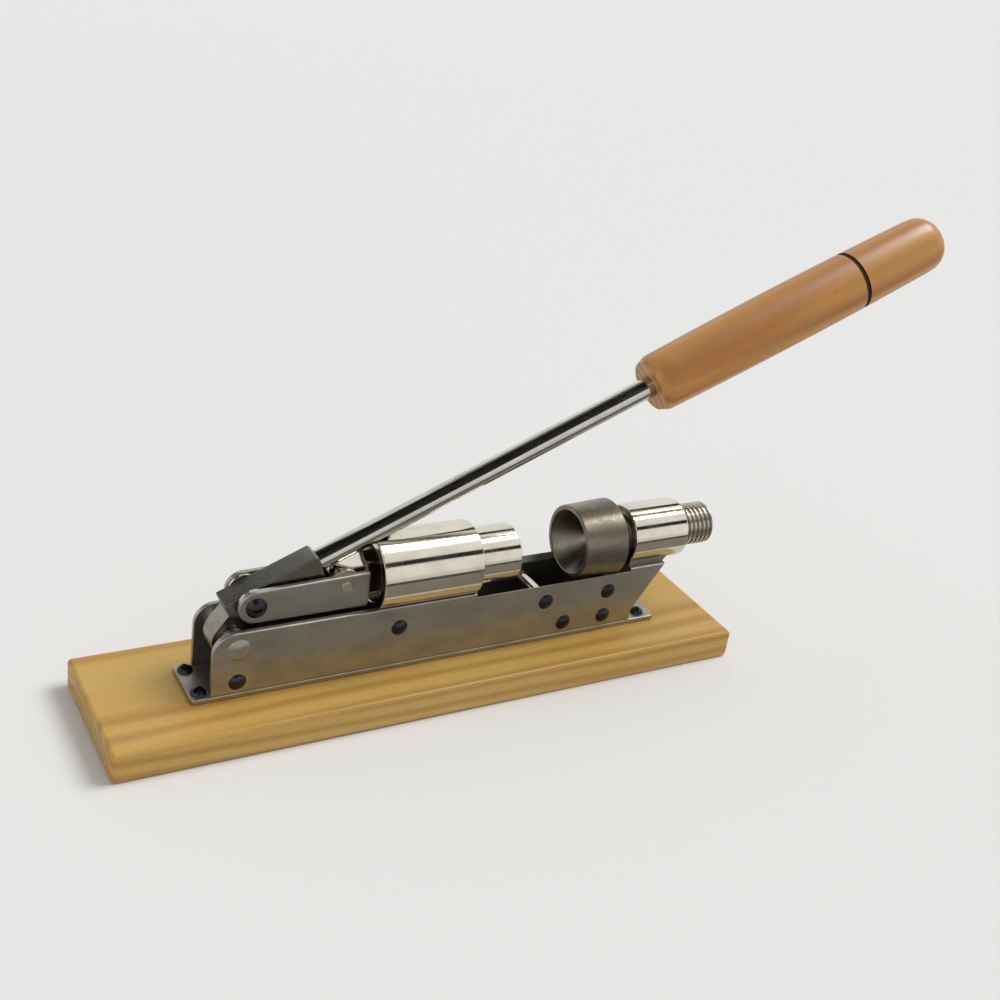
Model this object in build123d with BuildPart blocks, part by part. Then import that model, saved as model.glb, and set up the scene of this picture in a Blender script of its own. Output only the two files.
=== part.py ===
from build123d import *

import os
from math import cos, radians, sin, sqrt

# A lever nut cracker on a wooden board. Raising the handle draws a ram back in its guide barrel;
# pushing it down drives the ram's hollow cone towards a second cone on a threaded shank.
# X runs along the board towards the threaded cone, Y across it, Z up. The origin is the centre of
# the board's underside. Every size is in millimetres.

# ---- driving dimensions -------------------------------------------------------------------------

# clearances
fixed_fit = 0.05        # radial, between pieces that are fixed together
running_fit = 0.05      # radial, between a shaft and the hole in which it turns or slides
side_gap = 0.3          # between flat faces that slide past each other
cone_gap = 0.7          # between the travelling cone and what lies under it

# wooden base board
board_length = 300.0
board_width = 70.0
board_thickness = 14.0
board_edge_radius = 2.0

# foot plate, screwed to the board
foot_length = 230.0
foot_left = -112.0
foot_thickness = 2.5
foot_corner_radius = 2.5

# side plates, standing on the foot plate
channel_width = 22.0    # between the side plates
side_thickness = 2.5
side_height = 29.0
side_setback = 8.0      # from the foot plate's end to the side plates' rounded end
side_corner_radius = 9.0
toe_setback = 15.0      # foot of the slanted end
toe_height = 5.5

# foot screws, a pair beyond each end of the side plates
screw_radius = 2.0
screw_head_radius = 3.4
screw_head_height = 2.6
screw_length = 12.0
screw_head_round = 1.8
slot_width = 1.0
slot_depth = 1.2
slot_turn = 35.0        # degrees, from the board's length
screw_from_left = 4.2
screw_from_right = 7.5
screw_spread = 8.5      # from the middle to each screw of a pair

# jaws: the line that the ram and the threaded cone share
jaw_rise = 11.5         # above the side plates' top edges

# guide barrel and ram
ram_radius = 13.0
ram_length = 61.0
guide_wall = 3.95
guide_length = 47.5
guide_gap = 14.15       # from the crosshead pin to the guide barrel
ram_inset = 7.5         # rear face of the ram inside the guide barrel
ram_mouth_radius = 11.5
ram_cone_depth = 10.0
ram_cone_floor = 3.0
tail_width = 11.0
tail_radius = 7.0
guide_cradle = 4.0      # how far the saddle reaches up the guide barrel
guide_saddle_length = 40.0
guide_saddle_offset = 3.5

# linkage
pin_radius = 2.5
link_length = 39.6
link_thickness = 2.4
link_end_radius = 7.5
link_tail_height = 16.5
link_tail_drop = 11.0   # lower edge of the link's square end below the jaw line
link_tail_reach = 10.5  # square end beyond the crosshead pin
washer_radius = 7.0
washer_thickness = 1.2
crank_radius = 18.0
crank_angle = 64.0      # of the crank pin above the fulcrum, handle down
pin_drift = 2.3         # room for the crosshead pin to move up or down in the ram's eye
pin_play = 0.7          # and along the ram
fulcrum_edge = 11.0     # from the side plates' rounded end to the fulcrum
fulcrum_radius = 3.5
fulcrum_head_radius = 5.1
spacer_wall = 2.5
lug_radius = 9.0
bolt_head_radius = 4.5
bolt_head_height = 2.2
bolt_head_round = 1.5
nut_flats = 8.0
nut_height = 3.0
bolt_end = 1.0          # bolt standing out of its nut

# handle
handle_angle = 23.27    # above the board, handle down
arm_size = 11.0         # square bar
arm_above_crank = 31.7  # from the crank pin to the bar's upper end
arm_below_crank = 11.0
rod_radius = 4.75
rod_length = 223.0      # outside the arm, the part in the grip included
rod_rest_gap = 0.35     # between rod and guide barrel, handle down
rod_over_tail = 0.8     # between rod and the ram's eye, handle down
stub_radius = 4.0
stub_length = 18.0
socket_spare = 1.0      # empty depth past a stub or rod in its hole
grip_length = 165.0
grip_in = 55.0          # rod inside the grip
grip_end_radius = 11.5
grip_neck_radius = 13.2
grip_belly_radius = 14.2
grip_shoulder = 4.0
grip_tip_round = 9.0
grip_ring_at = 114.0
grip_ring_width = 2.4
grip_ring_depth = 0.8

# threaded cone, its shank and barrel
cone_back_radius = 18.0
cone_front_radius = 17.0
cone_length = 22.0
cone_mouth_radius = 15.0
cone_depth = 13.0
cone_floor_radius = 4.0
cone_from_barrel = 7.0  # cone's back to the anvil barrel, as the picture shows it
spigot_radius = 8.0
spigot_length = 7.0
shank_radius = 10.0
shank_length = 55.0
thread_pitch = 2.5
thread_depth = 1.2
thread_start = 2.5
centre_hole_radius = 2.0
centre_hole_depth = 3.0
anvil_barrel_wall = 3.95
anvil_barrel_length = 30.0
anvil_overhang = 10.0   # barrel beyond the foot plate's end
anvil_saddle_length = 36.0
anvil_cradle = 5.3      # how far the saddle reaches up the anvil barrel

# rivets and stay tube
rivet_radius = 2.0
rivet_head_radius = 3.8
rivet_head_height = 1.6
rivet_head_round = 1.3
stay_radius = 3.2
stay_from_right = 65.0
anvil_rivet_from_right = 31.0
guide_rivet_inset = 7.0
low_rivet_rise = 5.5    # low rivets above the foot plate; the first one is under the fulcrum
low_rivet_from_right = 53.5
saddle_rivet_from_right = 31.5

edge_break = 0.6        # chamfer on turned and milled edges
sheet_edge = 0.4        # chamfer round the outer faces of plates

# ---- places worked out from them ----------------------------------------------------------------

board_top = board_thickness
foot_top = board_top + foot_thickness
foot_right = foot_left + foot_length
side_top = foot_top + side_height
side_left = foot_left + side_setback
toe_right = foot_right - toe_setback
half_channel = channel_width / 2
channel_outside = half_channel + side_thickness
foot_width = 2 * channel_outside
jaw_z = side_top + jaw_rise

# linkage, in the upright middle plane: fulcrum, crank pin and crosshead pin
tail_to_rod = tail_radius + rod_radius + rod_over_tail
along_x = cos(radians(handle_angle))
along_z = sin(radians(handle_angle))
reach_back = sqrt(link_length**2 - tail_to_rod**2)
crank_z = jaw_z + tail_to_rod * along_x - reach_back * along_z
fulcrum_x = side_left + fulcrum_edge
fulcrum_z = crank_z - crank_radius * sin(radians(crank_angle))
crank_x = fulcrum_x + crank_radius * cos(radians(crank_angle))
crosshead_x = crank_x + tail_to_rod * along_z + reach_back * along_x

guide_left = crosshead_x + guide_gap
guide_right = guide_left + guide_length
guide_radius = ram_radius + running_fit + guide_wall
ram_left = guide_left + ram_inset
ram_right = ram_left + ram_length

barrel_bore = shank_radius + running_fit
barrel_radius = barrel_bore + anvil_barrel_wall
barrel_right = foot_right + anvil_overhang
barrel_left = barrel_right - anvil_barrel_length
cone_right = barrel_left - cone_from_barrel
cone_left = cone_right - cone_length
cone_way = cone_back_radius + cone_gap
under_cone = jaw_z - cone_way
rivet_z = under_cone - stay_radius

link_inside = tail_width / 2 + side_gap + washer_thickness
link_outside = link_inside + link_thickness

jaw_axis = Axis((0, 0, jaw_z), (1, 0, 0))
fulcrum = (fulcrum_x, fulcrum_z)
crank_pin = (crank_x, crank_z)
crosshead = (crosshead_x, jaw_z)

# sketches here are drawn in the upright middle plane with x along the handle, from the crank pin up
handle_plane = Plane(origin=(crank_x, 0, crank_z), x_dir=(along_x, 0, along_z), z_dir=(0, -1, 0))
handle_axis = Axis((crank_x, 0, crank_z), (along_x, 0, along_z))

# the same frame turned so that circles are drawn square to the handle
handle_section = Plane(origin=(crank_x, 0, crank_z), x_dir=(0, 1, 0), z_dir=(along_x, 0, along_z))

screw_xs = (foot_left + screw_from_left, foot_right - screw_from_right)
screw_places = [(x, y) for x in screw_xs for y in (-screw_spread, screw_spread)]

guide_rivet_x = guide_left + guide_saddle_offset + guide_rivet_inset
stay_x = foot_right - stay_from_right
anvil_rivet_x = foot_right - anvil_rivet_from_right
low_rivet_x = foot_right - low_rivet_from_right
saddle_rivet_x = foot_right - saddle_rivet_from_right
low_rivet_z = foot_top + low_rivet_rise
rivet_places = [(x, rivet_z) for x in (guide_rivet_x, stay_x, anvil_rivet_x)]
rivet_places += [(x, low_rivet_z) for x in (fulcrum_x, low_rivet_x, saddle_rivet_x)]

# ---- board and frame ----------------------------------------------------------------------------

with BuildPart() as base_board:
    with BuildSketch():
        Rectangle(board_length, board_width)
    extrude(amount=board_thickness)
    fillet(base_board.edges(), radius=board_edge_radius)
    with BuildSketch(Plane.XY.offset(board_top)):
        with Locations(*screw_places):
            Circle(screw_radius + fixed_fit)
    extrude(amount=-(screw_length - foot_thickness + socket_spare), mode=Mode.SUBTRACT)
base_board.part.label = "base_board"

with BuildPart() as foot_plate:
    with BuildSketch(Plane.XY.offset(board_top)):
        with Locations((foot_left + foot_length / 2, 0)):
            RectangleRounded(foot_length, foot_width, foot_corner_radius)
        with Locations(*screw_places):
            Circle(screw_radius + fixed_fit, mode=Mode.SUBTRACT)
    extrude(amount=foot_thickness)
    chamfer(foot_plate.faces().sort_by(Axis.Z)[-1].outer_wire().edges(), length=sheet_edge)
foot_plate.part.label = "foot_plate"

with BuildPart() as foot_screws:
    with BuildSketch(Plane.XY.offset(foot_top)):
        with Locations(*screw_places):
            Circle(screw_head_radius)
    extrude(amount=screw_head_height)
    fillet(foot_screws.faces().group_by(Axis.Z)[-1].edges(), radius=screw_head_round)
    with BuildSketch(Plane.XY.offset(foot_top + screw_head_height)):
        with Locations(*screw_places):
            Rectangle(2 * screw_head_radius, slot_width, rotation=slot_turn)
    extrude(amount=-slot_depth, mode=Mode.SUBTRACT)
    with BuildSketch(Plane.XY.offset(foot_top)):
        with Locations(*screw_places):
            Circle(screw_radius)
    extrude(amount=-screw_length)
foot_screws.part.label = "foot_screws"

# one outline serves both side plates: rounded over the fulcrum, slanted back under the anvil barrel
side_plates = []
for side_label, outer_face in (("near_side_plate", channel_outside), ("far_side_plate", -half_channel)):
    with BuildPart() as side_plate:
        with BuildSketch(Plane.XZ.offset(outer_face - side_thickness)):
            with BuildLine():
                Polyline(
                    (side_left, foot_top),
                    (side_left, side_top),
                    (foot_right, side_top),
                    (toe_right, foot_top + toe_height),
                    (toe_right, foot_top),
                    close=True,
                )
            make_face()
            rounded = [v for v in vertices() if v.X < fulcrum_x and v.Y > fulcrum_z]
            fillet(rounded, radius=side_corner_radius)
            with Locations(*rivet_places):
                Circle(rivet_radius + fixed_fit, mode=Mode.SUBTRACT)
            with Locations(fulcrum):
                Circle(fulcrum_radius + fixed_fit, mode=Mode.SUBTRACT)
        extrude(amount=side_thickness)
        outer = side_plate.faces().sort_by(Axis.Y)[0 if outer_face > 0 else -1]
        chamfer(outer.outer_wire().edges(), length=sheet_edge)
        # seat of the guide barrel, and the way that the travelling cone needs
        with BuildSketch(Plane.YZ.offset(guide_left)):
            with Locations((0, jaw_z)):
                Circle(guide_radius)
        extrude(amount=guide_length, mode=Mode.SUBTRACT)
        with BuildSketch(Plane.YZ.offset(guide_right)):
            with Locations((0, jaw_z)):
                Circle(cone_way)
        extrude(amount=barrel_left - guide_right, mode=Mode.SUBTRACT)
    side_plate.part.label = side_label
    side_plates.append(side_plate)

with BuildPart() as fulcrum_pin:
    with BuildSketch(Plane.XZ.offset(-channel_outside)):
        with Locations(fulcrum):
            Circle(fulcrum_radius)
    extrude(amount=2 * channel_outside)
    for face_y, outward in ((channel_outside, 1), (-channel_outside, -1)):
        with BuildSketch(Plane.XZ.offset(face_y)):
            with Locations(fulcrum):
                Circle(fulcrum_head_radius)
        extrude(amount=outward * rivet_head_height)
    heads = fulcrum_pin.faces().filter_by(GeomType.PLANE).sort_by(Axis.Y)
    fillet(heads[0].edges() + heads[-1].edges(), radius=rivet_head_round)
fulcrum_pin.part.label = "fulcrum_pin"

with BuildPart() as fulcrum_spacers:
    for inner_y in (arm_size / 2 + side_gap, -half_channel):
        with BuildSketch(Plane.XZ.offset(inner_y)):
            with Locations(fulcrum):
                Circle(fulcrum_radius + spacer_wall)
                Circle(fulcrum_radius + fixed_fit, mode=Mode.SUBTRACT)
        extrude(amount=half_channel - arm_size / 2 - side_gap)
fulcrum_spacers.part.label = "fulcrum_spacers"

with BuildPart() as cross_rivets:
    with BuildSketch(Plane.XZ.offset(-channel_outside)):
        with Locations(*rivet_places):
            Circle(rivet_radius)
    extrude(amount=2 * channel_outside)
    for face_y, outward in ((channel_outside, 1), (-channel_outside, -1)):
        with BuildSketch(Plane.XZ.offset(face_y)):
            with Locations(*rivet_places):
                Circle(rivet_head_radius)
        extrude(amount=outward * rivet_head_height)
    ends = cross_rivets.faces().filter_by(GeomType.PLANE).group_by(Axis.Y)
    fillet(ends[0].edges() + ends[-1].edges(), radius=rivet_head_round)
cross_rivets.part.label = "cross_rivets"

with BuildPart() as stay_tube:
    with BuildSketch(Plane.XZ.offset(-half_channel)):
        with Locations((stay_x, rivet_z)):
            Circle(stay_radius)
            Circle(rivet_radius + fixed_fit, mode=Mode.SUBTRACT)
    extrude(amount=channel_width)
stay_tube.part.label = "stay_tube"

# ---- guide barrel and ram -----------------------------------------------------------------------

with BuildPart() as guide_barrel:
    with BuildSketch(Plane.YZ.offset(guide_left)):
        with Locations((0, jaw_z)):
            Circle(guide_radius)
            Circle(ram_radius + running_fit, mode=Mode.SUBTRACT)
    extrude(amount=guide_length)
    chamfer(guide_barrel.edges().filter_by(GeomType.CIRCLE).sort_by(SortBy.RADIUS)[-2:], length=edge_break)
    # rest for the handle rod across the barrel's rear top edge
    with BuildSketch(handle_section):
        Circle(rod_radius + rod_rest_gap)
    extrude(amount=arm_above_crank + rod_length, mode=Mode.SUBTRACT)
guide_barrel.part.label = "guide_barrel"

with BuildPart() as guide_saddle:
    saddle_height = jaw_z - guide_radius + guide_cradle - foot_top
    with BuildSketch(Plane.XZ.offset(-half_channel)):
        with Locations((guide_left + guide_saddle_offset, foot_top)):
            Rectangle(guide_saddle_length, saddle_height, align=(Align.MIN, Align.MIN))
        with Locations((guide_rivet_x, rivet_z)):
            Circle(rivet_radius + fixed_fit, mode=Mode.SUBTRACT)
    extrude(amount=channel_width)
    with BuildSketch(Plane.YZ.offset(guide_left)):
        with Locations((0, jaw_z)):
            Circle(guide_radius)
    extrude(amount=guide_length, mode=Mode.SUBTRACT)
guide_saddle.part.label = "guide_saddle"

with BuildPart() as ram:
    with BuildSketch(Plane.XZ):
        with BuildLine():
            Polyline(
                (ram_left, jaw_z),
                (ram_left, jaw_z + ram_radius - edge_break),
                (ram_left + edge_break, jaw_z + ram_radius),
                (ram_right - edge_break, jaw_z + ram_radius),
                (ram_right, jaw_z + ram_radius - edge_break),
                (ram_right, jaw_z + ram_mouth_radius),
                (ram_right - ram_cone_depth, jaw_z + ram_cone_floor),
                (ram_right - ram_cone_depth, jaw_z),
                close=True,
            )
        make_face()
    revolve(axis=jaw_axis)
    # flat tail with a rounded eye, slotted upright for the crosshead pin
    with BuildSketch(Plane.XZ.offset(-tail_width / 2)):
        with Locations((crosshead_x, jaw_z)):
            Circle(tail_radius)
            Rectangle(ram_left - crosshead_x, 2 * tail_radius, align=(Align.MIN, Align.CENTER))
    extrude(amount=tail_width)
    with BuildSketch(Plane.XZ.offset(-tail_width / 2)):
        with Locations((crosshead_x, jaw_z)):
            RectangleRounded(
                2 * (pin_radius + pin_play), 2 * (pin_radius + pin_drift), pin_radius
            )
    extrude(amount=tail_width, mode=Mode.SUBTRACT)
ram.part.label = "ram"

# ---- links --------------------------------------------------------------------------------------

link_plates = []
link_tail_x = crosshead_x + link_tail_reach
link_bottom = jaw_z - link_tail_drop
for link_label, first_face in (("near_link_plate", link_inside), ("far_link_plate", -link_outside)):
    with BuildPart() as link_plate:
        with BuildSketch(Plane.XZ.offset(first_face)):
            with BuildLine():
                Line((crank_x, crank_z + link_end_radius), (link_tail_x, link_bottom + link_tail_height))
                Line((link_tail_x, link_bottom + link_tail_height), (link_tail_x, link_bottom))
                Line((link_tail_x, link_bottom), (crank_x, crank_z - link_end_radius))
                ThreePointArc(
                    (crank_x, crank_z - link_end_radius),
                    (crank_x - link_end_radius, crank_z),
                    (crank_x, crank_z + link_end_radius),
                )
            make_face()
            fillet([v for v in vertices() if v.X > crosshead_x], radius=edge_break)
            with Locations(crank_pin, crosshead):
                Circle(pin_radius + running_fit, mode=Mode.SUBTRACT)
        extrude(amount=link_thickness)
        outer = link_plate.faces().sort_by(Axis.Y)[0 if first_face > 0 else -1]
        chamfer(outer.outer_wire().edges(), length=sheet_edge)
    link_plate.part.label = link_label
    link_plates.append(link_plate)

with BuildPart() as link_washers:
    for first_face in (link_inside - washer_thickness, -link_inside):
        with BuildSketch(Plane.XZ.offset(first_face)):
            with Locations(crank_pin, crosshead):
                Circle(washer_radius)
                Circle(pin_radius + running_fit, mode=Mode.SUBTRACT)
        extrude(amount=washer_thickness)
link_washers.part.label = "link_washers"

with BuildPart() as crosshead_pin:
    with BuildSketch(Plane.XZ.offset(-link_outside)):
        with Locations(crosshead):
            Circle(pin_radius)
    extrude(amount=2 * link_outside)
crosshead_pin.part.label = "crosshead_pin"

# ---- lever --------------------------------------------------------------------------------------

with BuildPart() as lever_arm:
    with BuildSketch(Plane.XZ.offset(-arm_size / 2)):
        with Locations(fulcrum):
            Circle(lug_radius)
        with Locations(crank_pin):
            Circle(arm_size / 2)
        make_hull()
        with Locations(fulcrum):
            Circle(fulcrum_radius + running_fit, mode=Mode.SUBTRACT)
    extrude(amount=arm_size)
    with BuildSketch(handle_plane.offset(-arm_size / 2)):
        with Locations((-arm_below_crank, 0)):
            Rectangle(arm_below_crank + arm_above_crank, arm_size, align=(Align.MIN, Align.CENTER))
    extrude(amount=arm_size)
    chamfer(lever_arm.faces().sort_by(handle_axis)[-1].edges(), length=edge_break)
    # crank bolt's cross hole and the tapped socket of the handle rod
    with BuildSketch(Plane.XZ.offset(-arm_size / 2)):
        with Locations(crank_pin):
            Circle(pin_radius + fixed_fit)
    extrude(amount=arm_size, mode=Mode.SUBTRACT)
    with BuildSketch(handle_section.offset(arm_above_crank)):
        Circle(stub_radius + fixed_fit)
    extrude(amount=-(stub_length + socket_spare), mode=Mode.SUBTRACT)
lever_arm.part.label = "lever_arm"

with BuildPart() as crank_bolt:
    with BuildSketch(Plane.XZ.offset(-(link_outside + side_gap + nut_height + bolt_end))):
        with Locations(crank_pin):
            Circle(pin_radius)
    extrude(amount=2 * (link_outside + side_gap) + nut_height + bolt_end)
    with BuildSketch(Plane.XZ.offset(link_outside + side_gap)):
        with Locations(crank_pin):
            Circle(bolt_head_radius)
    extrude(amount=bolt_head_height)
    fillet(crank_bolt.faces().sort_by(Axis.Y)[0].edges(), radius=bolt_head_round)
crank_bolt.part.label = "crank_bolt"

with BuildPart() as crank_nut:
    with BuildSketch(Plane.XZ.offset(-(link_outside + side_gap + nut_height))):
        with Locations(crank_pin):
            RegularPolygon(nut_flats / 2, 6, major_radius=False)
            Circle(pin_radius + fixed_fit, mode=Mode.SUBTRACT)
    extrude(amount=nut_height)
crank_nut.part.label = "crank_nut"

rod_foot = arm_above_crank
grip_foot = rod_foot + rod_length - grip_in

with BuildPart() as handle_rod:
    with BuildSketch(handle_section.offset(rod_foot)):
        Circle(rod_radius)
    extrude(amount=rod_length)
    chamfer(handle_rod.faces().sort_by(handle_axis)[-1].edges(), length=edge_break)
    with BuildSketch(handle_section.offset(rod_foot)):
        Circle(stub_radius)
    extrude(amount=-stub_length)
    chamfer(handle_rod.faces().sort_by(handle_axis)[0].edges(), length=edge_break)
handle_rod.part.label = "handle_rod"

with BuildPart() as handle_grip:
    grip_tip = grip_foot + grip_length
    with BuildSketch(handle_plane):
        with BuildLine():
            Line((grip_foot, 0), (grip_foot, grip_end_radius))
            Line((grip_foot, grip_end_radius), (grip_foot + grip_shoulder, grip_neck_radius))
            ThreePointArc(
                (grip_foot + grip_shoulder, grip_neck_radius),
                ((grip_foot + grip_shoulder + grip_tip) / 2, grip_belly_radius),
                (grip_tip, grip_neck_radius),
            )
            Line((grip_tip, grip_neck_radius), (grip_tip, 0))
            Line((grip_tip, 0), (grip_foot, 0))
        make_face()
    revolve(axis=handle_axis)
    fillet(handle_grip.faces().sort_by(handle_axis)[-1].edges(), radius=grip_tip_round)
    # narrow burnt ring
    with BuildSketch(handle_plane):
        with Locations((grip_foot + grip_ring_at, grip_belly_radius)):
            Rectangle(grip_ring_width, 2 * grip_ring_depth)
    revolve(axis=handle_axis, mode=Mode.SUBTRACT)
    with BuildSketch(handle_section.offset(grip_foot)):
        Circle(rod_radius + fixed_fit)
    extrude(amount=grip_in + socket_spare, mode=Mode.SUBTRACT)
handle_grip.part.label = "handle_grip"

# ---- threaded cone ------------------------------------------------------------------------------

with BuildPart() as anvil_cone:
    with BuildSketch(Plane.XZ):
        with BuildLine():
            Polyline(
                (cone_left, jaw_z + cone_mouth_radius),
                (cone_left, jaw_z + cone_front_radius - edge_break),
                (cone_left + edge_break, jaw_z + cone_front_radius),
                (cone_right - edge_break, jaw_z + cone_back_radius),
                (cone_right, jaw_z + cone_back_radius - edge_break),
                (cone_right, jaw_z),
                (cone_left + cone_depth, jaw_z),
                (cone_left + cone_depth, jaw_z + cone_floor_radius),
                close=True,
            )
        make_face()
    revolve(axis=jaw_axis)
    with BuildSketch(Plane.YZ.offset(cone_right)):
        with Locations((0, jaw_z)):
            Circle(spigot_radius + running_fit)
    extrude(amount=-(spigot_length + side_gap), mode=Mode.SUBTRACT)
anvil_cone.part.label = "anvil_cone"

with BuildPart() as anvil_shank:
    shank_left = cone_right + side_gap
    shank_right = shank_left + shank_length
    with BuildSketch(Plane.YZ.offset(shank_left)):
        with Locations((0, jaw_z)):
            Circle(shank_radius)
    extrude(amount=shank_length)
    chamfer(anvil_shank.faces().sort_by(Axis.X)[-1].edges(), length=thread_depth)
    with BuildSketch(Plane.YZ.offset(shank_left)):
        with Locations((0, jaw_z)):
            Circle(spigot_radius)
    extrude(amount=-spigot_length)
    with BuildSketch(Plane.YZ.offset(shank_right)):
        with Locations((0, jaw_z)):
            Circle(centre_hole_radius)
    extrude(amount=-centre_hole_depth, mode=Mode.SUBTRACT)
    # thread, as one vee groove for each turn
    turns = int((shank_length - thread_start - thread_depth) / thread_pitch)
    with BuildSketch(Plane.XZ):
        for turn in range(turns):
            root_x = shank_left + thread_start + turn * thread_pitch
            with BuildLine():
                Polyline(
                    (root_x - thread_depth / 2, jaw_z + shank_radius + fixed_fit),
                    (root_x, jaw_z + shank_radius - thread_depth),
                    (root_x + thread_depth / 2, jaw_z + shank_radius + fixed_fit),
                    close=True,
                )
            make_face()
    revolve(axis=jaw_axis, mode=Mode.SUBTRACT)
anvil_shank.part.label = "anvil_shank"

with BuildPart() as anvil_barrel:
    with BuildSketch(Plane.YZ.offset(barrel_left)):
        with Locations((0, jaw_z)):
            Circle(barrel_radius)
            Circle(barrel_bore, mode=Mode.SUBTRACT)
    extrude(amount=anvil_barrel_length)
    chamfer(anvil_barrel.edges().filter_by(GeomType.CIRCLE).sort_by(SortBy.RADIUS)[-2:], length=edge_break)
anvil_barrel.part.label = "anvil_barrel"

# the saddle stays low under the cone, and past it climbs to the barrel along the plates' slant
with BuildPart() as anvil_saddle:
    saddle_top = jaw_z - barrel_radius + anvil_cradle
    slant = (foot_right - toe_right) / (side_top - foot_top - toe_height)
    saddle_right = foot_right + slant * (saddle_top - side_top)
    saddle_left = foot_right - anvil_saddle_length
    with BuildSketch(Plane.XZ.offset(-half_channel)):
        with BuildLine():
            Polyline(
                (saddle_left, foot_top),
                (saddle_left, under_cone),
                (barrel_left + edge_break, under_cone),
                (barrel_left + edge_break, saddle_top),
                (saddle_right, saddle_top),
                (toe_right, foot_top + toe_height),
                (toe_right, foot_top),
                close=True,
            )
        make_face()
        with Locations((anvil_rivet_x, rivet_z), (saddle_rivet_x, low_rivet_z)):
            Circle(rivet_radius + fixed_fit, mode=Mode.SUBTRACT)
    extrude(amount=channel_width)
    with BuildSketch(Plane.YZ.offset(barrel_left)):
        with Locations((0, jaw_z)):
            Circle(barrel_radius)
    extrude(amount=anvil_barrel_length, mode=Mode.SUBTRACT)
anvil_saddle.part.label = "anvil_saddle"

# ---- files --------------------------------------------------------------------------------------

pieces = [
    base_board,
    foot_plate,
    foot_screws,
    *side_plates,
    fulcrum_pin,
    fulcrum_spacers,
    cross_rivets,
    stay_tube,
    guide_barrel,
    guide_saddle,
    ram,
    *link_plates,
    link_washers,
    crosshead_pin,
    lever_arm,
    crank_bolt,
    crank_nut,
    handle_rod,
    handle_grip,
    anvil_cone,
    anvil_shank,
    anvil_barrel,
    anvil_saddle,
]
os.makedirs("parts", exist_ok=True)
for piece in pieces:
    export_step(piece.part, f"parts/{piece.part.label}.step")
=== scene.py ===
"""Looks of a lever nut cracker: a wooden board, a chromed steel frame, a ram and a threaded cone.

Sizes are in millimetres where a name or a table gives them, and MM turns them to metres. X runs
along the board towards the threaded cone, Y across it and Z up.
"""

import math

import bpy
from mathutils import Matrix, Quaternion, Vector


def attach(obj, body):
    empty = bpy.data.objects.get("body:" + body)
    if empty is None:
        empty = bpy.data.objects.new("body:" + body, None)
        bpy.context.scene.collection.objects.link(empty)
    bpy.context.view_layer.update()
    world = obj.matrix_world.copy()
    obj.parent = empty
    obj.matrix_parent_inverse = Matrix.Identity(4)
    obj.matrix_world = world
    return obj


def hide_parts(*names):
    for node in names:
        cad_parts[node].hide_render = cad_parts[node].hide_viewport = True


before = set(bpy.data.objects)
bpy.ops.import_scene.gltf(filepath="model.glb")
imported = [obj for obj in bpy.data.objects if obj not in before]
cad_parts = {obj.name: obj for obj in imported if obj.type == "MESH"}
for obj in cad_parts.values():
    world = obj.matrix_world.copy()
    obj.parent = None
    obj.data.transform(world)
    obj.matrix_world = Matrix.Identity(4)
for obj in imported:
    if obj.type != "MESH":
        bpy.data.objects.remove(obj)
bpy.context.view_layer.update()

MM = 0.001

# ---- sizes of the object, in millimetres --------------------------------------------------------

BOARD_CORNERS = ((-150, -35, 0), (150, 35, 14))
FOOT_TOP = 16.5
JAW_Z = 57.0  # height of the line that the ram and the cone share
HANDLE_TILT = 23.27  # degrees above the board

# places of what crosses the channel, as x and z
FULCRUM = (-93.0, 37.513)
CRANK_PIN = (-85.109, 53.691)
CROSSHEAD = (-45.648, JAW_Z)
RIVETS = ((-21.0, 35.1), (53.0, 35.1), (87.0, 35.1), (-93.0, 22.0), (64.5, 22.0), (86.5, 22.0))
STAY = RIVETS[1]
# places of the foot screws, as x and y
SCREWS = ((-107.8, -8.5), (-107.8, 8.5), (110.5, -8.5), (110.5, 8.5))

# faces of the layers, counted outwards from the middle plane
TAIL_FACE = 5.5
WASHER_IN = 5.8
WASHER_OUT = 7.0
LINK_OUT = 9.4
BOLT_SEAT = 9.7
CHANNEL_INSIDE = 11.0
CHANNEL_OUTSIDE = 13.5

# radii
FIT = 0.05  # room round each pin, rivet and shaft
FULCRUM_RADIUS = 3.5
RIVET_RADIUS = 2.0
PIN_RADIUS = 2.5
TAIL_RADIUS = 7.0
RAM_RADIUS = 13.0
SHANK_RADIUS = 10.0
ROD_RADIUS = 4.75

# places along the board
RAM_TAIL, RAM_MOUTH = -24.0, 37.0
GUIDE_ENDS = (-31.5, 16.0)
CONE_MOUTH, CONE_BACK = 69.0, 91.0
ANVIL_ENDS = (98.0, 128.0)

# places along the handle, from the crank pin
ROD_ENDS = (31.7, 254.7)
GRIP_FOOT, GRIP_TIP = 199.7, 364.7
GRIP_SHOULDER = GRIP_FOOT + 4.0
RING_AT = GRIP_FOOT + 114.0

# how far edges are rounded
PLATE_EDGE = 0.25
TURNED_EDGE = 0.6

# ---- modelling ----------------------------------------------------------------------------------


def take(piece):
    """Selects one piece and nothing else."""
    bpy.ops.object.select_all(action="DESELECT")
    piece.select_set(True)
    bpy.context.view_layer.objects.active = piece


def named(name):
    """Gives the primitive that was just added its name."""
    piece = bpy.context.object
    piece.name = piece.data.name = name
    return piece


def modify(piece, kind, **settings):
    """Adds a modifier with its settings and applies it."""
    take(piece)
    modifier = piece.modifiers.new(kind.lower(), kind)
    for key, value in settings.items():
        setattr(modifier, key, value)
    bpy.ops.object.modifier_apply(modifier=modifier.name)


def soften(piece, width, segments=3):
    """Rounds every sharp edge by width millimetres and leaves flat faces flat."""
    take(piece)
    bpy.ops.object.shade_smooth()
    modify(
        piece,
        "BEVEL",
        width=width * MM,
        segments=segments,
        limit_method="ANGLE",
        angle_limit=math.radians(32),
        use_clamp_overlap=False,
        harden_normals=True,
    )


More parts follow.
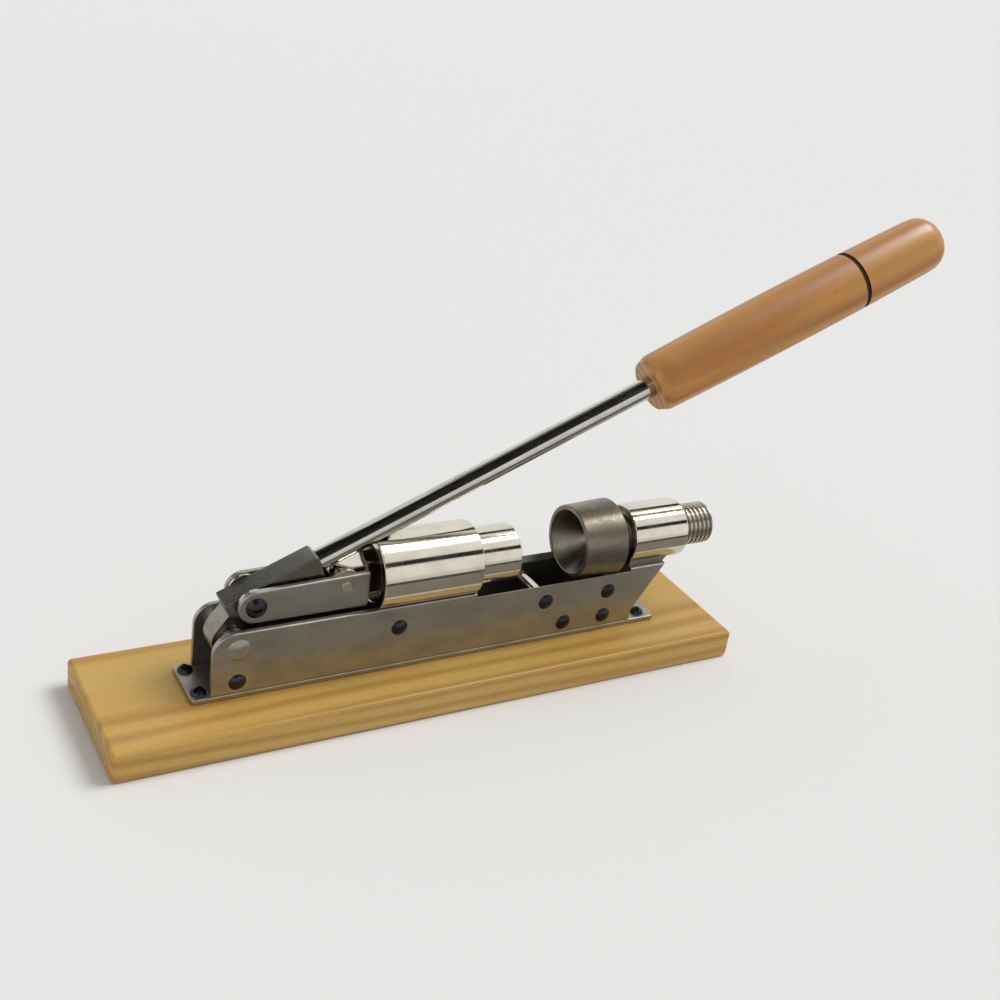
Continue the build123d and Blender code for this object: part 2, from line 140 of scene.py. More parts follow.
def along_x(z=JAW_Z):
    """Place of a turned piece whose axis lies along the board."""
    return Matrix.Translation((0, 0, z * MM)) @ Matrix.Rotation(math.radians(90), 4, "Y")


def along_y(x, z):
    """Place of a turned piece whose axis lies across the board."""
    return Matrix.Translation((x * MM, 0, z * MM)) @ Matrix.Rotation(math.radians(-90), 4, "X")


def along_handle():
    """Place of a turned piece on the handle's line, measured from the crank pin."""
    foot = Matrix.Translation((CRANK_PIN[0] * MM, 0, CRANK_PIN[1] * MM))
    return foot @ Matrix.Rotation(math.radians(90 - HANDLE_TILT), 4, "Y")


def turned(name, profile, place, rim=0.0, segments=96, closed=False):
    """Turns a piece as on a lathe: a ring is drawn out along the axis and scaled to each radius.

    profile lists (distance along the axis, radius). A closed piece is a tube, whose last ring is
    its first one; any other has a flat face at each end. rim is how far its edges are rounded.
    """
    bpy.ops.object.select_all(action="DESELECT")
    start, radius = profile[0]
    fill = "NOTHING" if closed else "NGON"
    bpy.ops.mesh.primitive_circle_add(vertices=segments, radius=radius * MM, fill_type=fill)
    piece = named(name)
    bpy.ops.object.mode_set(mode="EDIT")
    bpy.ops.mesh.select_mode(type="EDGE")
    bpy.ops.mesh.select_all(action="SELECT")
    bpy.ops.transform.translate(value=(0, 0, start * MM))
    for (here, inner), (there, outer) in zip(profile, profile[1:]):
        move = {"value": (0, 0, (there - here) * MM)}
        bpy.ops.mesh.extrude_edges_move(TRANSFORM_OT_translate=move)
        scale = outer / inner
        bpy.ops.transform.resize(value=(scale, scale, 1), center_override=(0, 0, 0))
    if not closed:
        bpy.ops.mesh.edge_face_add()
    bpy.ops.mesh.select_all(action="SELECT")
    bpy.ops.mesh.remove_doubles(threshold=1e-6)
    bpy.ops.mesh.normals_make_consistent(inside=False)
    bpy.ops.object.mode_set(mode="OBJECT")
    piece.matrix_world = place
    bpy.ops.object.transform_apply(location=True, rotation=True, scale=True)
    if rim:
        soften(piece, rim)
    else:
        bpy.ops.object.shade_smooth_by_angle(angle=math.radians(30))
    return piece


def block(name, low, high, rim=0.0):
    """A rectangular piece between two corners, in millimetres, with its edges rounded."""
    bpy.ops.object.select_all(action="DESELECT")
    middle = [(a + b) / 2 * MM for a, b in zip(low, high)]
    size = [(b - a) * MM for a, b in zip(low, high)]
    bpy.ops.mesh.primitive_cube_add(size=1, location=middle, scale=size)
    piece = named(name)
    bpy.ops.object.transform_apply(location=True, rotation=True, scale=True)
    if rim:
        soften(piece, rim, segments=5)
    return piece


def combine(piece, tool, operation):
    """Joins a tool to a piece, or cuts it from it, and removes the tool."""
    modify(piece, "BOOLEAN", operation=operation, object=tool, solver="EXACT")
    bpy.data.objects.remove(tool)


def merge(piece):
    """Joins loose triangles into whole faces and turns their normals out."""
    take(piece)
    bpy.ops.object.mode_set(mode="EDIT")
    bpy.ops.mesh.select_all(action="SELECT")
    bpy.ops.mesh.remove_doubles(threshold=1e-5)
    bpy.ops.mesh.dissolve_limited(angle_limit=math.radians(0.5))
    bpy.ops.mesh.normals_make_consistent(inside=False)
    bpy.ops.object.mode_set(mode="OBJECT")


def dressed(node, name, width):
    """A copy of a flat CAD node with its triangles merged and its edges rounded."""
    piece = bpy.data.objects.new(name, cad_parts[node].data.copy())
    bpy.context.scene.collection.objects.link(piece)
    merge(piece)
    piece.data.materials.clear()
    soften(piece, width, segments=2)
    modify(piece, "WEIGHTED_NORMAL", mode="FACE_AREA", weight=100, keep_sharp=True)
    return piece


def joined(name, pieces):
    """Makes several solids one piece."""
    take(pieces[0])
    for piece in pieces:
        piece.select_set(True)
    bpy.ops.object.join()
    return named(name)


def finish(piece, material, body, slot, *nodes):
    """Gives a piece its material and lets it ride on its body in place of CAD nodes; slot is not used."""
    piece.data.materials.clear()
    for one in material if isinstance(material, tuple) else (material,):
        piece.data.materials.append(one)
    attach(piece, body)
    if nodes:
        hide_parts(*nodes)
    return piece


# ---- materials ----------------------------------------------------------------------------------


def hex_colour(code):
    """An sRGB hex colour as the linear colour that a shader takes."""
    parts = [int(code[i : i + 2], 16) / 255 for i in (1, 3, 5)]
    linear = [p / 12.92 if p <= 0.04045 else ((p + 0.055) / 1.055) ** 2.4 for p in parts]
    return (*linear, 1.0)


def add(tree, kind, inputs=(), stops=(), **settings):
    """Adds a node with its settings; an input is a value, or the output that feeds it."""
    node = tree.nodes.new(kind)
    for key, value in settings.items():
        setattr(node, key, value)
    for key, value in dict(inputs).items():
        if isinstance(value, bpy.types.NodeSocket):
            tree.links.new(value, node.inputs[key])
        else:
            node.inputs[key].default_value = value
    for index, (position, colour) in enumerate(stops):
        ramp = node.color_ramp.elements
        stop = ramp[index] if index < 2 else ramp.new(position)
        stop.position = position
        stop.color = colour if isinstance(colour, tuple) else hex_colour(colour)
    return node


def blank(name):
    """A new material with its shader, its tree and the piece's own coordinates."""
    material = bpy.data.materials.new(name)
    material.use_nodes = True
    tree = material.node_tree
    shader = tree.nodes["Principled BSDF"]
    return material, tree, shader, add(tree, "ShaderNodeTexCoord").outputs["Object"]


def grey(level):
    return (level, level, level, 1.0)


def wood(name, tones, place, tilt, roughness, coat):
    """Beech under a clear coat: growth rings, long fibres and the short dark flecks of its rays.

    tones are the pale wood, the darker ring and the fleck. place is the middle of the tree, in
    metres, and tilt turns the grain to the piece, in degrees about Y.
    """
    material, tree, shader, coords = blank(name)
    lie = add(
        tree,
        "ShaderNodeMapping",
        {"Vector": coords, "Location": place, "Rotation": (0, math.radians(tilt), math.radians(1.2))},
        vector_type="TEXTURE",
    ).outputs["Vector"]
    # a tree's rings run nearly straight along the grain, so the pattern is drawn out eightfold
    drawn_out = add(tree, "ShaderNodeMapping", {"Vector": lie, "Scale": (0.12, 1, 1)}).outputs[0]
    rings = add(
        tree,
        "ShaderNodeTexWave",
        {
            "Vector": drawn_out,
            "Scale": 62,  # rings 5 mm apart
            "Distortion": 5.5,
            "Detail": 2.5,
            "Detail Scale": 0.55,
            "Detail Roughness": 0.45,
        },
        wave_type="RINGS",
        rings_direction="X",
    ).outputs["Fac"]
    # fibres 0.4 mm across and some 20 mm long
    fibre_lie = add(tree, "ShaderNodeMapping", {"Vector": lie, "Scale": (45, 2200, 2200)}).outputs[0]
    fibres = add(
        tree, "ShaderNodeTexNoise", {"Vector": fibre_lie, "Scale": 1, "Detail": 5, "Roughness": 0.6}
    ).outputs["Fac"]
    # ray flecks 0.3 mm across and 2 to 3 mm long
    fleck_lie = add(tree, "ShaderNodeMapping", {"Vector": lie, "Scale": (260, 2600, 1700)}).outputs[0]
    flecks = add(tree, "ShaderNodeTexNoise", {"Vector": fleck_lie, "Scale": 1, "Detail": 2}).outputs["Fac"]
    fleck = add(
        tree, "ShaderNodeValToRGB", {"Fac": flecks}, stops=[(0.63, grey(0)), (0.70, grey(1))]
    ).outputs["Color"]
    # slow change of tone over some 60 mm
    broad_lie = add(tree, "ShaderNodeMapping", {"Vector": lie, "Scale": (6, 40, 40)}).outputs[0]
    broad = add(tree, "ShaderNodeTexNoise", {"Vector": broad_lie, "Scale": 1, "Detail": 2}).outputs["Fac"]
    base = add(
        tree, "ShaderNodeValToRGB", {"Fac": rings}, stops=[(0.25, tones[0]), (1.0, tones[1])]
    ).outputs["Color"]
    warmed = add(
        tree,
        "ShaderNodeMix",
        {"Factor": broad, 6: base, 7: hex_colour(tones[1])},
        data_type="RGBA",
        blend_type="SOFT_LIGHT",
    ).outputs[2]
    fibre_tone = add(
        tree, "ShaderNodeValToRGB", {"Fac": fibres}, stops=[(0.3, grey(0.80)), (0.7, grey(1.0))]
    ).outputs["Color"]
    grained = add(
        tree,
        "ShaderNodeMix",
        {0: 0.75, 6: warmed, 7: fibre_tone},
        data_type="RGBA",
        blend_type="MULTIPLY",
    ).outputs[2]
    fleck_share = add(tree, "ShaderNodeMath", {0: fleck, 1: 0.4}, operation="MULTIPLY").outputs[0]
    colour = add(
        tree,
        "ShaderNodeMix",
        {0: fleck_share, 6: grained, 7: hex_colour(tones[2])},
        data_type="RGBA",
    ).outputs[2]
    tree.links.new(colour, shader.inputs["Base Color"])
    gloss = add(
        tree,
        "ShaderNodeMapRange",
        {"Value": fibres, "To Min": roughness - 0.06, "To Max": roughness + 0.08},
    ).outputs[0]
    tree.links.new(gloss, shader.inputs["Roughness"])
    bump = add(
        tree, "ShaderNodeBump", {"Height": fibres, "Strength": 0.35, "Distance": 0.00012}
    ).outputs["Normal"]
    tree.links.new(bump, shader.inputs["Normal"])
    shader.inputs["IOR"].default_value = 1.5
    shader.inputs["Coat Weight"].default_value = coat
    shader.inputs["Coat Roughness"].default_value = 0.22
    return material


def plated(name, tones, gloss, line_scale, line_depth):
    """Steel plate, bar or tube: two tones, a polish that varies, lines left by its making, and painted
    shade in its corners.

    tones are its clean and its hazed colour and gloss is the least and most roughness. line_scale
    is how often the lines repeat along X, Y and Z, per metre, and line_depth is in millimetres.
    """
    material, tree, shader, coords = blank(name)
    haze_lie = add(tree, "ShaderNodeMapping", {"Vector": coords, "Scale": (55, 90, 90)}).outputs[0]
    haze = add(
        tree, "ShaderNodeTexNoise", {"Vector": haze_lie, "Scale": 1, "Detail": 4, "Roughness": 0.6}
    ).outputs["Fac"]
    line_lie = add(tree, "ShaderNodeMapping", {"Vector": coords, "Scale": line_scale}).outputs[0]
    lines = add(
        tree, "ShaderNodeTexNoise", {"Vector": line_lie, "Scale": 1, "Detail": 3, "Roughness": 0.55}
    ).outputs["Fac"]
    clean = add(
        tree, "ShaderNodeValToRGB", {"Fac": haze}, stops=[(0.35, tones[0]), (0.7, tones[1])]
    ).outputs["Color"]
    # painted shade: the colour darkens towards #5a564f within 1.5 mm of a corner, where the ambient
    # occlusion node finds the surface hemmed in
    corner = add(tree, "ShaderNodeAmbientOcclusion", {"Distance": 0.0015}, samples=16).outputs["AO"]
    corner_shade = add(
        tree, "ShaderNodeValToRGB", {"Fac": corner}, stops=[(0.15, "#5a564f"), (0.6, "#ffffff")]
    ).outputs["Color"]
    # the painted corner shade multiplies the clean tones
    colour = add(
        tree,
        "ShaderNodeMix",
        {0: 0.6, 6: clean, 7: corner_shade},
        data_type="RGBA",
        blend_type="MULTIPLY",
    ).outputs[2]
    tree.links.new(colour, shader.inputs["Base Color"])
    worn = add(tree, "ShaderNodeMath", {0: haze, 1: lines}, operation="MULTIPLY").outputs[0]
    polish = add(
        tree,
        "ShaderNodeMapRange",
        {"Value": worn, "From Min": 0.12, "From Max": 0.4, "To Min": gloss[0], "To Max": gloss[1]},
    ).outputs[0]
    tree.links.new(polish, shader.inputs["Roughness"])
    bump = add(
        tree, "ShaderNodeBump", {"Height": lines, "Strength": 0.4, "Distance": line_depth * MM}
    ).outputs["Normal"]
    tree.links.new(bump, shader.inputs["Normal"])
    shader.inputs["Metallic"].default_value = 1.0
    return material


# varnished beech board: pale golden sapwood, straight grain along the board, a satin coat
board_wood = wood(
    "varnished_beech_board", ("#cfae66", "#ba954c", "#94692f"), (0, 0.012, -0.05), 0, 0.48, 0.1
)
# the heart of the grip's tree lies beside and below the handle's line
grip_heart = (CRANK_PIN[0] * MM, 0.009, CRANK_PIN[1] * MM - 0.014)
# turned beech grip: warmer, and smoother from the lathe
grip_wood = wood(
    "turned_beech_grip", ("#c99a55", "#b48341", "#875c27"), grip_heart, -HANDLE_TILT, 0.42, 0.2
)
# groove scorched by a wire while the grip spun: matt brown-black char
burnt_ring = wood(
    "scorched_beech_groove", ("#4a2c17", "#38200f", "#241308"), grip_heart, -HANDLE_TILT, 0.6, 0.0
)
# polished chrome plate on turned steel: near-mirror, with faint lines round each barrel
chrome = plated("polished_chrome_plate", ("#dbd5c6", "#c8c2b3"), (0.07, 0.17), (1500, 120, 120), 0.004)
# chrome plate on a drawn rod: lines run along the rod
rod_chrome = plated("chromed_drawn_rod", ("#c9c6bd", "#b3b0a8"), (0.09, 0.18), (160, 900, 160), 0.003)
# chrome plate on rolled sheet: duller, with the rolling lines along the board
frame_steel = plated("chromed_rolled_sheet", ("#aeaba1", "#96938a"), (0.32, 0.46), (70, 1600, 1600), 0.012)
# chrome plate on a drawn square bar: darker than the rest, with fine lines along it
bar_chrome = plated("chromed_square_bar", ("#8f8c83", "#76736b"), (0.24, 0.36), (260, 700, 260), 0.002)
# turned bare steel: dark grey, rings a third of a millimetre apart, drawn coarse enough to show
cone_steel = plated("turned_bare_steel", ("#827c6f", "#665f54"), (0.24, 0.4), (3000, 40, 40), 0.02)
cone_shader = cone_steel.node_tree.nodes["Principled BSDF"]
cone_shader.inputs["Anisotropic"].default_value = 0.6
tangent = add(cone_steel.node_tree, "ShaderNodeTangent", direction_type="RADIAL", axis="X")
cone_steel.node_tree.links.new(tangent.outputs["Tangent"], cone_shader.inputs["Tangent"])
# cut thread: bright steel, torn a little by the die
thread_steel = plated("die_cut_thread_steel", ("#b8b3a6", "#96918a"), (0.2, 0.35), (900, 900, 900), 0.01)
# black oxide on the screws, the rivets, and the link bolt and its nut: satin black
screw_steel = plated("black_oxide_screw_steel", ("#3d3e40", "#2a2b2c"), (0.25, 0.4), (400, 400, 400), 0.01)

# ---- board and frame ----------------------------------------------------------------------------

board = block("beech_board", *BOARD_CORNERS, rim=2.0)
finish(board, board_wood, "frame", "board_wood", "base_board")

for node, name in (
    ("foot_plate", "foot_strip"),
    ("near_side_plate", "side_plate_near"),
    ("far_side_plate", "side_plate_far"),
    ("guide_saddle", "saddle_under_guide"),
    ("anvil_saddle", "saddle_under_anvil"),
):
    finish(dressed(node, name, PLATE_EDGE), frame_steel, "frame", "frame_steel", node)


def dome(base, radius, height, sign, steps=6):
    """Rings of a rivet's head from its rim to its crown, standing on base."""
    sphere = (radius**2 + height**2) / (2 * height)
    reach = math.asin(radius / sphere)
    rings = []
    for step in range(steps + 1):
        angle = reach * (1 - step / steps) + 0.06 * step / steps
        rings.append((base + sign * (height - sphere + sphere * math.cos(angle)), sphere * math.sin(angle)))
    return rings


def rivet(name, shaft, radius, height, x, z):
    """A rivet through both side plates with a domed head on each."""
    far = dome(CHANNEL_OUTSIDE, radius, height, 1)
    near = [(-along, ring) for along, ring in reversed(far)]
    profile = near + [(-CHANNEL_OUTSIDE, shaft), (CHANNEL_OUTSIDE, shaft)] + far
    return turned(name, profile, along_y(x, z), segments=48)


fulcrum_rivet = rivet("fulcrum_rivet", FULCRUM_RADIUS, 5.1, 1.6, *FULCRUM)
finish(fulcrum_rivet, frame_steel, "frame", "frame_steel", "fulcrum_pin")
set_of_rivets = [rivet(f"rivet_{i}", RIVET_RADIUS, 3.8, 1.6, x, z) for i, (x, z) in enumerate(RIVETS)]
finish(joined("cross_rivet_set", set_of_rivets), screw_steel, "frame", "screw_steel", "cross_rivets")


def tube(name, inner, outer, start, end, place, rim=0.2, segments=48):
    """A plain tube, washer or barrel with its edges rounded."""
    profile = [(start, inner), (start, outer), (end, outer), (end, inner), (start, inner)]
    return turned(name, profile, place, rim=rim, segments=segments, closed=True)


spacers = [
    tube(name, FULCRUM_RADIUS + FIT, 6.0, start, end, along_y(*FULCRUM))
    for name, start, end in (
        ("spacer_near", -CHANNEL_INSIDE, -WASHER_IN),
        ("spacer_far", WASHER_IN, CHANNEL_INSIDE),
    )
]
finish(joined("fulcrum_spacer_pair", spacers), chrome, "frame", "chrome", "fulcrum_spacers")
stay = tube("stay_sleeve", RIVET_RADIUS + FIT, 3.2, -CHANNEL_INSIDE, CHANNEL_INSIDE, along_y(*STAY))
finish(stay, chrome, "frame", "chrome", "stay_tube")


SCREW_HEAD_HEIGHT = 2.6


def foot_screw(index, x, y, turn):
    """A small pan-head screw with a slot, turned by some degrees."""
    head = dome(FOOT_TOP, 3.4, SCREW_HEAD_HEIGHT, 1)
    profile = [(12.0, 2.0), (FOOT_TOP, 2.0)] + head
    piece = turned(f"screw_{index}", profile, Matrix.Translation((x * MM, y * MM, 0)), segments=32)
    bpy.ops.object.select_all(action="DESELECT")
    bpy.ops.mesh.primitive_cube_add(
        size=1,
        location=(x * MM, y * MM, (FOOT_TOP + SCREW_HEAD_HEIGHT) * MM),
        rotation=(0, 0, math.radians(turn)),
        scale=(8 * MM, 0.9 * MM, 2.2 * MM),
    )
    combine(piece, bpy.context.object, "DIFFERENCE")
    return piece


SLOT_TURNS = (35, 110, 72, 150)
screws = [foot_screw(i, x, y, SLOT_TURNS[i]) for i, (x, y) in enumerate(SCREWS)]
finish(joined("foot_screw_set", screws), screw_steel, "frame", "screw_steel", "foot_screws")

# ---- guide barrel and ram -----------------------------------------------------------------------

guide = tube(
    "guide_sleeve", RAM_RADIUS + FIT, 17.0, *GUIDE_ENDS, along_x(), rim=TURNED_EDGE, segments=144
)
notch_radius = ROD_RADIUS + 0.35
notch = turned("notch_cutter", [(20, notch_radius), (140, notch_radius)], along_handle(), segments=48)
combine(guide, notch, "DIFFERENCE")
bpy.ops.object.shade_smooth_by_angle(angle=math.radians(30))
finish(guide, chrome, "frame", "chrome", "guide_barrel")

ram_profile = [(RAM_MOUTH - 10, 3), (RAM_MOUTH, 11.5), (RAM_MOUTH, RAM_RADIUS), (RAM_TAIL, RAM_RADIUS)]
ram = turned("ram_plunger", ram_profile, along_x(), rim=0.5, segments=144)
finish(ram, chrome, "ram", "chrome", "ram")
eye_profile = [(-TAIL_FACE, TAIL_RADIUS), (TAIL_FACE, TAIL_RADIUS)]
eye = turned("ram_eye", eye_profile, along_y(*CROSSHEAD), segments=64)
tail_low = (CROSSHEAD[0], -TAIL_FACE, JAW_Z - TAIL_RADIUS)
tail_high = (RAM_TAIL + 0.1, TAIL_FACE, JAW_Z + TAIL_RADIUS)
combine(eye, block("tail", tail_low, tail_high), "UNION")
merge(eye)
soften(eye, 0.2, segments=2)
# the upright slot in which the crosshead pin rides
combine(eye, block("slot", (-48.8, -9, 52.2), (-42.5, 9, 61.8), rim=2.5), "DIFFERENCE")
bpy.ops.object.shade_smooth_by_angle(angle=math.radians(30))
finish(eye, chrome, "ram", "chrome", "ram")

# ---- links --------------------------------------------------------------------------------------

for node, name in (("near_link_plate", "link_near"), ("far_link_plate", "link_far")):
    finish(dressed(node, name, PLATE_EDGE), frame_steel, "links", "frame_steel", node)

washer_places = [
    (pin, start, end)
    for pin in (CRANK_PIN, CROSSHEAD)
    for start, end in ((-WASHER_OUT, -WASHER_IN), (WASHER_IN, WASHER_OUT))
]
washers = [
    tube(f"washer_{i}", PIN_RADIUS + FIT, 7.0, start, end, along_y(*pin), segments=64)
    for i, (pin, start, end) in enumerate(washer_places)
]
finish(joined("link_washer_set", washers), chrome, "links", "chrome", "link_washers")
cross_pin_profile = [(-LINK_OUT, PIN_RADIUS), (LINK_OUT, PIN_RADIUS)]
cross_pin = turned("crosshead_rivet", cross_pin_profile, along_y(*CROSSHEAD), rim=0.4, segments=48)
finish(cross_pin, chrome, "links", "chrome", "crosshead_pin")

# ---- lever --------------------------------------------------------------------------------------

finish(dressed("lever_arm", "square_lever_arm", 0.35), bar_chrome, "lever", "frame_steel", "lever_arm")
nut_face = BOLT_SEAT + 3.0
bolt_head = [(-along, ring) for along, ring in reversed(dome(BOLT_SEAT, 4.5, 2.2, 1))]
bolt_profile = bolt_head + [(-BOLT_SEAT, PIN_RADIUS), (nut_face + 1, PIN_RADIUS)]
bolt = turned("link_bolt", bolt_profile, along_y(*CRANK_PIN), segments=48)
slot_x, slot_z = CRANK_PIN
slot_low = (slot_x - 6, -13, slot_z - 0.5)
slot_high = (slot_x + 6, -11.1, slot_z + 0.5)
combine(bolt, block("bolt_slot", slot_low, slot_high), "DIFFERENCE")
bpy.ops.object.shade_smooth_by_angle(angle=math.radians(30))
finish(bolt, screw_steel, "lever", "screw_steel", "crank_bolt")
nut_corner = 4.62  # 8 mm across its flats
nut_profile = [(BOLT_SEAT, nut_corner), (nut_face, nut_corner)]
nut = turned("link_nut", nut_profile, along_y(*CRANK_PIN), rim=0.5, segments=6)
finish(nut, screw_steel, "lever", "screw_steel", "crank_nut")

rod = turned("handle_bar", [(end, ROD_RADIUS) for end in ROD_ENDS], along_handle(), rim=0.5)
finish(rod, rod_chrome, "lever", "chrome", "handle_rod")


def grip_radius(along):
    """The grip's long belly: 13.2 mm at its shoulder and tip, 14.2 mm half way."""
    half = (GRIP_TIP - GRIP_SHOULDER) / 2
    bow = (half**2 + 1) / 2
    return 14.2 - bow + math.sqrt(bow**2 - (along - GRIP_SHOULDER - half) ** 2)


TIP_ROUND = 9.0
RING_HALF = 1.2  # half the groove's width

stations = [GRIP_SHOULDER + 6.8 * i for i in range(23)]
belly = [(along, grip_radius(along)) for along in stations if abs(along - RING_AT) > 3]
for beside, depth in ((-RING_HALF, 0), (-0.8, 0.8), (0.8, 0.8), (RING_HALF, 0)):
    belly.append((RING_AT + beside, grip_radius(RING_AT + beside) - depth))
belly = sorted(point for point in belly if point[0] < GRIP_TIP - TIP_ROUND)
tip = [
    (
        GRIP_TIP - TIP_ROUND + TIP_ROUND * math.sin(math.radians(angle)),
        13.2 - TIP_ROUND + TIP_ROUND * math.cos(math.radians(angle)),
    )
    for angle in range(0, 91, 9)
]
# the first 12 mm of the rod's socket, with room round the rod
socket = [(GRIP_FOOT + 12, ROD_RADIUS + 0.1), (GRIP_FOOT, ROD_RADIUS + 0.1)]
grip_profile = socket + [(GRIP_FOOT, 11.5)] + belly + tip
grip = turned("turned_grip", grip_profile, along_handle(), segments=128)
handle_line = along_handle().inverted()
finish(grip, (grip_wood, burnt_ring), "lever", "grip_wood", "handle_grip")
for face in grip.data.polygons:
    face.use_smooth = True
    if abs((handle_line @ face.center).z / MM - RING_AT) < RING_HALF:
        face.material_index = 1

# ---- threaded cone ------------------------------------------------------------------------------

cone_profile = [(CONE_MOUTH + 13, 4), (CONE_MOUTH, 15), (CONE_MOUTH, 17), (CONE_BACK, 18)]
cone = turned("hollow_cone", cone_profile, along_x(), rim=TURNED_EDGE, segments=144)
finish(cone, cone_steel, "cone", "cone_steel", "anvil_cone")

PITCH, DEPTH = 2.5, 1.2
HELIX_START = 86.3  # more than a turn before the first cut, so that the cut is one closed ring
# one vee of the thread is drawn point by point along the bar, then turned and carried along
bpy.ops.object.select_all(action="DESELECT")
bpy.ops.mesh.primitive_plane_add(size=MM)
shank = named("threaded_shank")
bpy.ops.object.mode_set(mode="EDIT")
bpy.ops.mesh.select_mode(type="VERT")
bpy.ops.mesh.select_all(action="SELECT")
bpy.ops.mesh.merge(type="CENTER")
bpy.ops.transform.translate(value=(SHANK_RADIUS * MM, 0, HELIX_START * MM))
for outward, onward in ((0, 0.5), (-DEPTH, 0.7), (0, 0.1), (DEPTH, 0.7), (0, 0.5)):
    step = {"value": (outward * MM, 0, onward * MM)}
    bpy.ops.mesh.extrude_vertices_move(TRANSFORM_OT_translate=step)
bpy.ops.object.mode_set(mode="OBJECT")
modify(
    shank,
    "SCREW",
    axis="Z",
    angle=math.tau,
    screw_offset=PITCH * MM,
    iterations=26,
    steps=64,
    render_steps=64,
    use_merge_vertices=True,
    merge_threshold=1e-6,
)
bpy.ops.object.mode_set(mode="EDIT")
bpy.ops.mesh.select_all(action="SELECT")
bpy.ops.mesh.remove_doubles(threshold=1e-6)
# cut where the plane meets no point of the helix, whose points climb by steps of 0.04 mm, and
# with a threshold finer than they are, so that each cut is filled whole
for cut, below in ((90.517, True), (147.483, False)):
    bpy.ops.mesh.select_all(action="SELECT")
    bpy.ops.mesh.bisect(
        plane_co=(0, 0, cut * MM),
        plane_no=(0, 0, 1),
        use_fill=True,
        clear_inner=below,
        clear_outer=not below,
        threshold=1e-7,
    )
bpy.ops.mesh.select_all(action="SELECT")
bpy.ops.mesh.normals_make_consistent(inside=False)
bpy.ops.object.mode_set(mode="OBJECT")
shank.matrix_world = along_x()
bpy.ops.object.transform_apply(location=True, rotation=True, scale=True)
# what the bar leaves of it: a neck behind the cone, bevelled ends and a centre hole
neck = [(91.3, 8.7), (93.4, 8.7), (94.6, 10.2)]
far_end = [(145.1, 10.2), (146.3, 8.9), (146.3, 2.0), (143.3, 0.4)]
combine(shank, turned("shank_blank", neck + far_end, along_x(), segments=96), "INTERSECT")
take(shank)
bpy.ops.object.shade_smooth_by_angle(angle=math.radians(25))
finish(shank, thread_steel, "shank", "thread_steel", "anvil_shank")

anvil = tube(
    "anvil_sleeve", SHANK_RADIUS + FIT, 14.0, *ANVIL_ENDS, along_x(), rim=TURNED_EDGE, segments=144
)
finish(anvil, chrome, "frame", "chrome", "anvil_barrel")

# ---- floor, light and camera --------------------------------------------------------------------


def plain(name, code, roughness):
    material, _, shader, _ = blank(name)
    shader.inputs["Base Color"].default_value = hex_colour(code)
    shader.inputs["Roughness"].default_value = roughness
    return material


def card(name, size, location, rotation, material):
    """A flat card of the studio, in metres and degrees."""
    bpy.ops.object.select_all(action="DESELECT")
    turn = [math.radians(r) for r in rotation]
    bpy.ops.mesh.primitive_plane_add(size=1, location=location, rotation=turn)
    piece = named(name)
    piece.scale = (*size, 1)
    piece.data.materials.append(material)
    return piece


card("floor", (60, 60), (0, 0, 0), (0, 0, 0), plain("pale_paper_floor", "#e9e9e7", 0.9))

# dark cards that only the metal sees, as a photographer sets them to give chrome its dark lines
black = plain("dark_card", "#0c0d0f", 0.9)
dim = plain("dim_card", "#8a877f", 0.9)
for name, size, location, rotation, shade in (
    ("card_over_lever", (0.48, 1.92), (-0.02, -0.64, 0.85), (0, 0, 0), black),
    ("card_over_arm", (1.0, 3.1), (-0.7, -0.05, 0.85), (0, 0, 0), black),
    ("card_over_barrels", (1.2, 0.24), (0.48, -0.72, 0.70), (50, 0, 0), black),
    ("card_behind_barrels", (1.2, 0.20), (0.5, 0.48, 0.84), (-35, 0, 0), black),
    ("card_in_front", (0.9, 0.13), (0.1, -0.11, 0.004), (0, 0, 0), dim),
    ("line_in_front", (0.9, 0.11), (0.15, -0.23, 0.004), (0, 0, 0), black),
):
    flag = card(name, size, location, rotation, shade)
    flag.visible_camera = flag.visible_diffuse = flag.visible_shadow = False

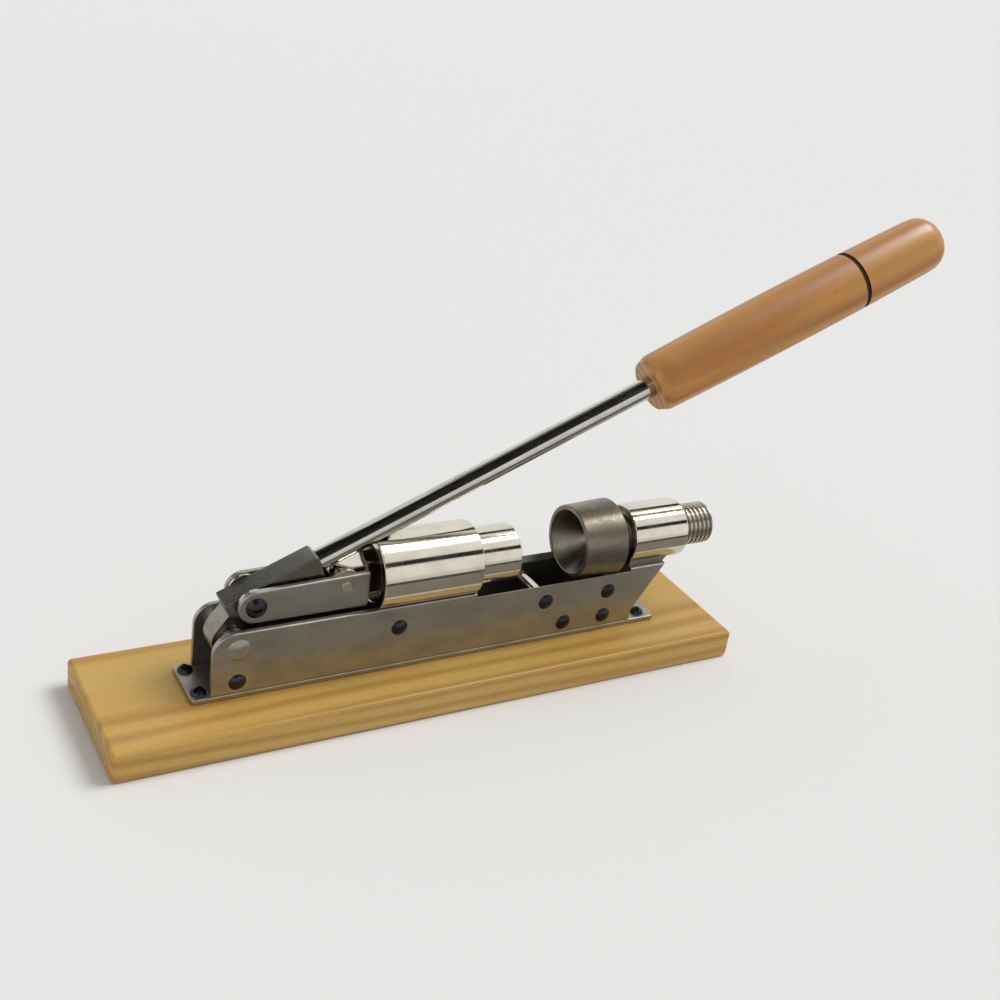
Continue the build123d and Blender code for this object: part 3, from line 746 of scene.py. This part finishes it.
world = bpy.data.worlds.new("studio")
bpy.context.scene.world = world
world.use_nodes = True
sky = world.node_tree
path = add(sky, "ShaderNodeLightPath")
seen = add(
    sky,
    "ShaderNodeMath",
    {0: path.outputs["Is Camera Ray"], 1: path.outputs["Is Glossy Ray"]},
    operation="MAXIMUM",
)
seen = add(
    sky,
    "ShaderNodeMath",
    {0: seen.outputs[0], 1: path.outputs["Is Transmission Ray"]},
    operation="MAXIMUM",
)
soft = sky.nodes["Background"]
soft.inputs["Color"].default_value = (1, 1, 1, 1)
soft.inputs["Strength"].default_value = 0.5
backdrop = add(sky, "ShaderNodeBackground", {"Color": (1, 1, 1, 1), "Strength": 1.0})
shown = add(
    sky,
    "ShaderNodeMixShader",
    {0: seen.outputs[0], 1: soft.outputs[0], 2: backdrop.outputs[0]},
)
sky.links.new(shown.outputs[0], sky.nodes["World Output"].inputs["Surface"])

LIT_POINT = (0.03, 0, 0.05)  # in metres, as the rest of the studio


def lamp(name, kind, power, size, location):
    """A lamp that looks at the object; size is the sun's angle in degrees, or a box's in metres."""
    light = bpy.data.lights.new(name, kind)
    light.energy = power
    if kind == "SUN":
        light.angle = math.radians(size)
    else:
        light.size = size
    stand = bpy.data.objects.new(name, light)
    bpy.context.scene.collection.objects.link(stand)
    stand.location = location
    stand.rotation_mode = "QUATERNION"
    stand.rotation_quaternion = (Vector(LIT_POINT) - Vector(location)).to_track_quat("-Z", "Y")
    return stand


# one broad light falls evenly on floor and object; the two boxes only show in metal and varnish
lamp("broad_light", "SUN", 1.9, 32, (0.60, -0.06, 0.80)).visible_glossy = False
lamp("soft_box_right", "AREA", 7.0, 0.4, (0.62, 0.02, 1.0)).visible_diffuse = False
lamp("soft_box_left", "AREA", 3.0, 0.5, (-0.8, -0.7, 0.9)).visible_diffuse = False

CAMERA_AT = (-0.267, -0.457, 0.358)
CAMERA_AIM = (0.0345, 0.0091, 0.0784)
CAMERA_ROLL = 8.8  # degrees

lens = bpy.data.cameras.new("camera")
lens.lens = 50
camera = bpy.data.objects.new("camera", lens)
bpy.context.scene.collection.objects.link(camera)
bpy.context.scene.camera = camera
camera.location = CAMERA_AT
aim = (Vector(CAMERA_AIM) - camera.location).to_track_quat("-Z", "Y")
camera.rotation_mode = "QUATERNION"
camera.rotation_quaternion = aim @ Quaternion((0, 0, 1), math.radians(CAMERA_ROLL))

bpy.context.scene.view_settings.view_transform = "Standard"
